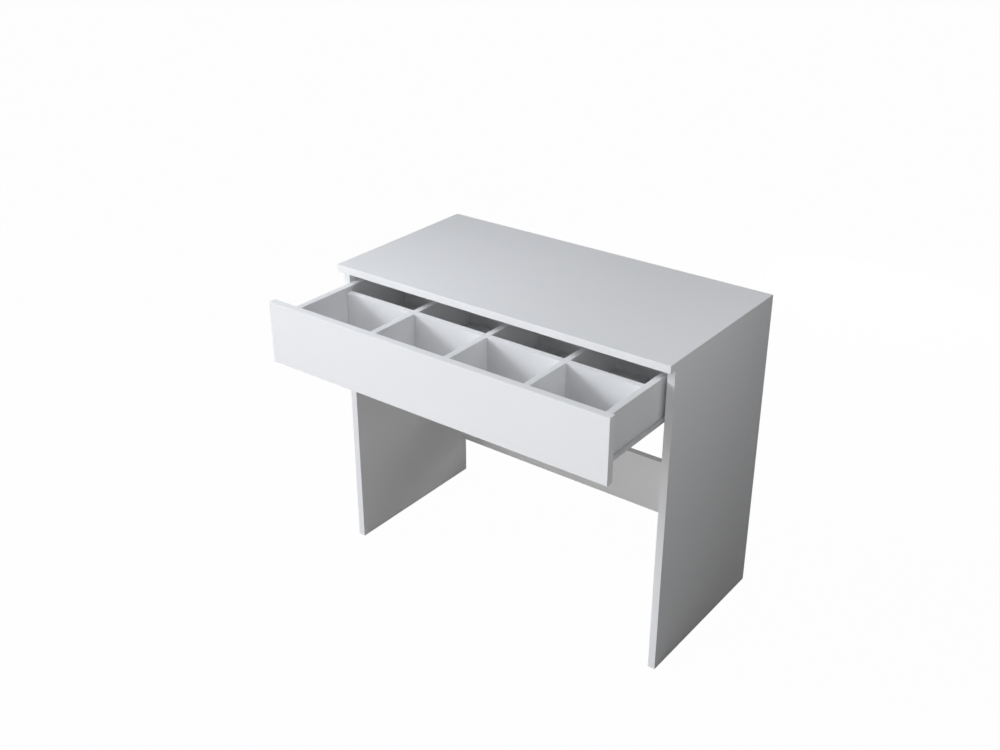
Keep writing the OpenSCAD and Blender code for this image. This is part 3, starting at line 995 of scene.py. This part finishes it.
class FinishBottom(bpy.types.Operator):
    """Gives the drawer's bottom its lacquered face and felted underside"""

    bl_idname = "dressing_table.bottom"
    bl_label = "Drawer bottom"

    def execute(self, context):
        look = context.scene.dressing_table.boards
        dress("drawer_bottom", hardboard_finish("drawer_bottom", look))
        round_edges("drawer_bottom", look.thin_edge, segments=2)
        return {"FINISHED"}


class FinishRunners(bpy.types.Operator):
    """Coats the runners' sheet steel and rubs it where the rollers run"""

    bl_idname = "dressing_table.runners"
    bl_label = "Runners"

    def execute(self, context):
        look = context.scene.dressing_table.metal
        rear_low, rear_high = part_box("right_drawer_roller")
        _, front_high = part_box("right_cabinet_roller")
        tracks = (rear_low.z - RUNNING_GAP, rear_high.z + RUNNING_GAP)
        channel = coated_steel_finish("channel_coat", look, tracks)
        tracks = (front_high.z + RUNNING_GAP,)
        ledge = coated_steel_finish("ledge_coat", look, tracks)
        for side in ("left", "right"):
            for owner, coat in (("cabinet", channel), ("drawer", ledge)):
                node = f"{side}_{owner}_runner"
                dress(node, coat)
                merged(node)
        return {"FINISHED"}


class MakeScrews(bpy.types.Operator):
    """Makes the screws of the runners and the drawer's back, and the bottom's nails"""

    bl_idname = "dressing_table.screws"
    bl_label = "Screws and nails"

    def execute(self, context):
        look = context.scene.dressing_table.metal
        plate = zinc_finish("zinc_plate", look, look.plate_grain)
        runner = look.screw_pitch, RUNNER_SCREW_SHANK
        long = look.long_pitch, LONG_SCREW_SHANK
        for name, node, body, (pitch, shank) in (
            ("channel_screws", "cabinet_runner_screws", "carcass", runner),
            ("ledge_screws", "drawer_runner_screws", "drawer", runner),
            ("back_board_screws", "back_screws", "drawer", long),
        ):
            places, length, head = seats_of(node)
            made = screw_surface(length, head, shank * head, pitch)
            piece(name, made, places, body, node, plate)
        places, length, head = seats_of("bottom_nails")
        made = nail_surface(length, head, NAIL_SHANK * head)
        piece("panel_nails", made, places, "drawer", "bottom_nails", plate)
        return {"FINISHED"}


class MakeCamFittings(bpy.types.Operator):
    """Makes the cam bolts and gives the cam locks their cast zinc"""

    bl_idname = "dressing_table.cam_fittings"
    bl_label = "Cam fittings"

    def execute(self, context):
        look = context.scene.dressing_table.metal
        plate = zinc_finish("bolt_plate", look, look.plate_grain)
        cast = zinc_finish("cast_zinc", look, look.cast_grain)
        joints = (("top", "carcass"), ("rail", "carcass"), ("front", "drawer"))
        for joint, body in joints:
            name, node = joint + "_bolts", joint + "_cam_bolts"
            places, length, _ = seats_of(node)
            made = cam_bolt_surface(length, look.bolt_pitch)
            piece(name, made, places, body, node, plate)
            dress(joint + "_cam_locks", cast)
            merged(joint + "_cam_locks")
        return {"FINISHED"}


class MakeDowels(bpy.types.Operator):
    """Makes the fluted beech dowels"""

    bl_idname = "dressing_table.dowels"
    bl_label = "Dowels"

    def execute(self, context):
        look = context.scene.dressing_table.wood
        for joint, body, axis in (
            ("top", "carcass", Z),
            ("rail", "carcass", X),
            ("divider", "drawer", Y),
        ):
            name, node = joint + "_pegs", joint + "_dowels"
            places, length, radius = seats_of(node)
            made = dowel_surface(length, radius)
            wood = beech_finish(name + "_beech", look, axis)
            piece(name, made, places, body, node, wood)
        return {"FINISHED"}


class MakeRollers(bpy.types.Operator):
    """Makes the ribbed nylon rollers and their riveted pins"""

    bl_idname = "dressing_table.rollers"
    bl_label = "Rollers"

    def execute(self, context):
        table = context.scene.dressing_table
        nylon = nylon_finish("nylon", table.plastic)
        plate = zinc_finish("pin_plate", table.metal, table.metal.plate_grain)
        for side in ("left", "right"):
            for end, owner, outward in (
                ("front", "cabinet", -1),
                ("rear", "drawer", 1),
            ):
                node = f"{side}_{owner}_roller"
                points = solids_of(node)[0]
                *place, width, _ = seat(points, outward)
                made = roller_surface(width, np.ptp(points[:, Y]) / 2)
                name, body = f"{side}_{end}_wheel", f"{side}_{end}_roller"
                piece(name, made, [place], body, node, nylon)
        for owner, body, outward in (
            ("cabinet", "carcass", -1),
            ("drawer", "drawer", 1),
        ):
            name, node = owner + "_rivets", owner + "_roller_pins"
            places, length, _ = seats_of(node, outward)
            made = pin_surface(length)
            piece(name, made, places, body, node, plate)
        return {"FINISHED"}


class MakeStudio(bpy.types.Operator):
    """Makes the floor, the lamps, the white surroundings and the camera"""

    bl_idname = "dressing_table.studio"
    bl_label = "Studio"

    def execute(self, context):
        scene = context.scene
        look = scene.dressing_table.studio
        floor_piece(look)
        white_surroundings(scene, look)
        soft_lamps(scene, look)
        camera = bpy.data.objects.new("camera", bpy.data.cameras.new("camera"))
        camera.data.lens = look.lens
        camera.data.sensor_width = SENSOR_WIDTH
        camera.location = CAMERA_PLACE
        camera.rotation_euler = [math.radians(angle) for angle in CAMERA_TURN]
        scene.collection.objects.link(camera)
        scene.camera = camera
        scene.view_settings.view_transform = "Standard"
        return {"FINISHED"}


# Studio


def seen(finish):
    """1 for camera rays and for those that glossy or clear surfaces send on."""
    path = finish.node("ShaderNodeLightPath", output="Is Camera Ray")
    glossy, clear = path.other("Is Glossy Ray"), path.other("Is Transmission Ray")
    return path.most(glossy).most(clear)


def floor_piece(look):
    """Square floor at Z = 0: the point (u, v) of its grid is (R u |u|, R v |v|, 0).

    It is clear from below, so that the table's underside can be looked at.
    """
    count = FLOOR_SQUARES
    u = np.linspace(-1, 1, count + 1)
    x, y = np.meshgrid(FLOOR_REACH * u * abs(u), FLOOR_REACH * u * abs(u))
    points = np.stack((x, y, 0 * x), axis=-1).reshape(-1, 3)
    first = (np.arange(count)[:, None] * (count + 1) + np.arange(count)).ravel()
    faces = first[:, None] + np.array([0, 1, count + 2, count + 1])
    mesh = surface_mesh("floor", points, faces)
    floor = bpy.data.objects.new("floor", mesh)
    bpy.context.scene.collection.objects.link(floor)
    finish = new_finish("floor")
    colour = finish.scaled(look.floor, 0.99 + 0.02 * finish.noise(3.0, 2.0))
    matt = finish.node("ShaderNodeBsdfDiffuse", None, {"Color": colour})
    sockets = {"Color": WHITE, "Strength": 1.0}
    white = finish.node("ShaderNodeEmission", None, sockets)
    sockets = {0: look.backdrop * seen(finish), 1: matt, 2: white}
    surface = finish.node("ShaderNodeMixShader", None, sockets)
    below = finish.node("ShaderNodeNewGeometry", output="Backfacing")
    clear = finish.node("ShaderNodeBsdfTransparent")
    sockets = {0: below, 1: surface, 2: clear}
    surface = finish.node("ShaderNodeMixShader", None, sockets)
    finish.node("ShaderNodeOutputMaterial", None, {"Surface": surface})
    mesh.materials.append(finish.owner)


def white_surroundings(scene, look):
    """World as white as the floor looks, which lights the table at sky strength."""
    scene.world = bpy.data.worlds.new("surroundings")
    finish = Finish(scene.world)
    strength = look.sky + (look.backdrop - look.sky) * seen(finish)
    sockets = {"Color": WHITE, "Strength": strength}
    light = finish.node("ShaderNodeBackground", None, sockets)
    finish.node("ShaderNodeOutputWorld", None, {"Surface": light})


def aimed(scene, name, lamp, azimuth, elevation, distance):
    """Puts a lamp at a distance from the table's middle, towards which it shines.

    An azimuth of 0 is in front of the table, and one of 90 degrees on its right.
    """
    tilt, turn = math.radians(90 - elevation), math.radians(azimuth)
    level = math.sin(tilt)
    away = (math.sin(turn) * level, -math.cos(turn) * level, math.cos(tilt))
    thing = bpy.data.objects.new(name, lamp)
    thing.location = np.array(TABLE_MIDDLE) + distance * np.array(away)
    thing.rotation_euler = (tilt, 0, turn)
    thing.visible_camera = False
    scene.collection.objects.link(thing)


def soft_lamps(scene, look):
    """A wide sun as key light and round soft boxes near the table.

    A lamp's strength is the brightness that it gives a white surface that faces it: a
    sun of pi, or a soft box of pi^2 d^2 watts at the distance d, gives 1.
    """
    key = bpy.data.lights.new("key", "SUN")
    key.energy = math.pi * look.key
    key.angle = math.radians(KEY_WIDTH)
    key.color = look.key_colour
    aimed(scene, "key", key, KEY_AZIMUTH, KEY_ELEVATION, KEY_DISTANCE)
    for name, (width, azimuth, elevation, distance) in SOFT_BOXES.items():
        box = bpy.data.lights.new(name, "AREA")
        box.shape = "DISK"
        box.size = width
        box.energy = (math.pi * distance) ** 2 * getattr(look, name)
        box.color = look.left_colour if name == "left_box" else look.box_colour
        aimed(scene, name, box, azimuth, elevation, distance)


# Panel and start


class TablePanel(bpy.types.Panel):
    """Sidebar panel with the settings and the steps"""

    bl_idname = "VIEW3D_PT_dressing_table"
    bl_label = "Dressing table"
    bl_space_type = "VIEW_3D"
    bl_region_type = "UI"
    bl_category = "Dressing table"

    def draw(self, context):
        table = context.scene.dressing_table
        looks = (table.boards, table.metal, table.plastic, table.wood, table.studio)
        for look in looks:
            box = self.layout.box()
            for name in look.__annotations__:
                box.prop(look, name)
        for step in STEPS:
            self.layout.operator(step.bl_idname)


STEPS = (
    FinishBoards,
    FinishBottom,
    FinishRunners,
    MakeScrews,
    MakeCamFittings,
    MakeDowels,
    MakeRollers,
    MakeStudio,
)
LOOKS = (BoardLook, MetalLook, PlasticLook, WoodLook, StudioLook, TableLook)
CLASSES = (*LOOKS, *STEPS, TablePanel)


def register():
    """Adds the settings, the steps and the panel to Blender."""
    for item in CLASSES:
        bpy.utils.register_class(item)
    bpy.types.Scene.dressing_table = bpy.props.PointerProperty(type=TableLook)


def unregister():
    """Takes the settings, the steps and the panel out of Blender."""
    del bpy.types.Scene.dressing_table
    for item in reversed(CLASSES):
        bpy.utils.unregister_class(item)


def main():
    """Runs every step in order."""
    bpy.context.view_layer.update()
    register()
    for step in STEPS:
        group, name = step.bl_idname.split(".")
        getattr(getattr(bpy.ops, group), name)()


if __name__ == "__main__":
    main()
